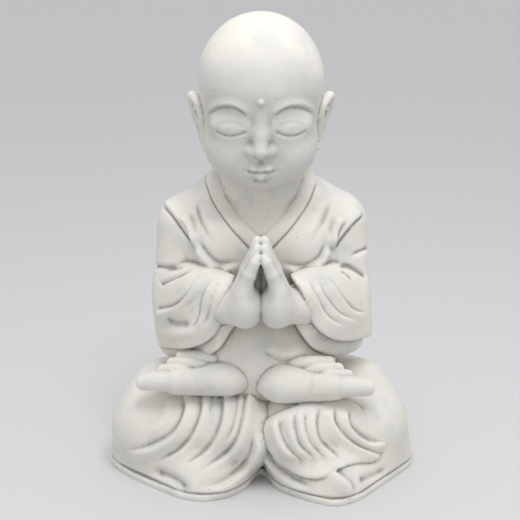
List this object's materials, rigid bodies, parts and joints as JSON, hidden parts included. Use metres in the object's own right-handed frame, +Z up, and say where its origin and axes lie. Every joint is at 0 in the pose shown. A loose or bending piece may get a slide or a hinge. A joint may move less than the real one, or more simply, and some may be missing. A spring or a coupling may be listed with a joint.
{
  "type": "seated jizo statue",
  "caption": "Cast stone figure of a child monk in a draped robe, seated cross-legged with palms together, on a flat base.",
  "frame": {"origin": "middle of the flat underside, under the centre of the overall box", "axes": "+Z up to the crown of the head; the figure faces -Y; +X is the viewer's right"},
  "size_m": [0.297, 0.2092, 0.43],
  "materials": {
    "stone": null
  },
  "bodies": {
    "root": {"statue": "stone"}
  },
  "joints": []
}
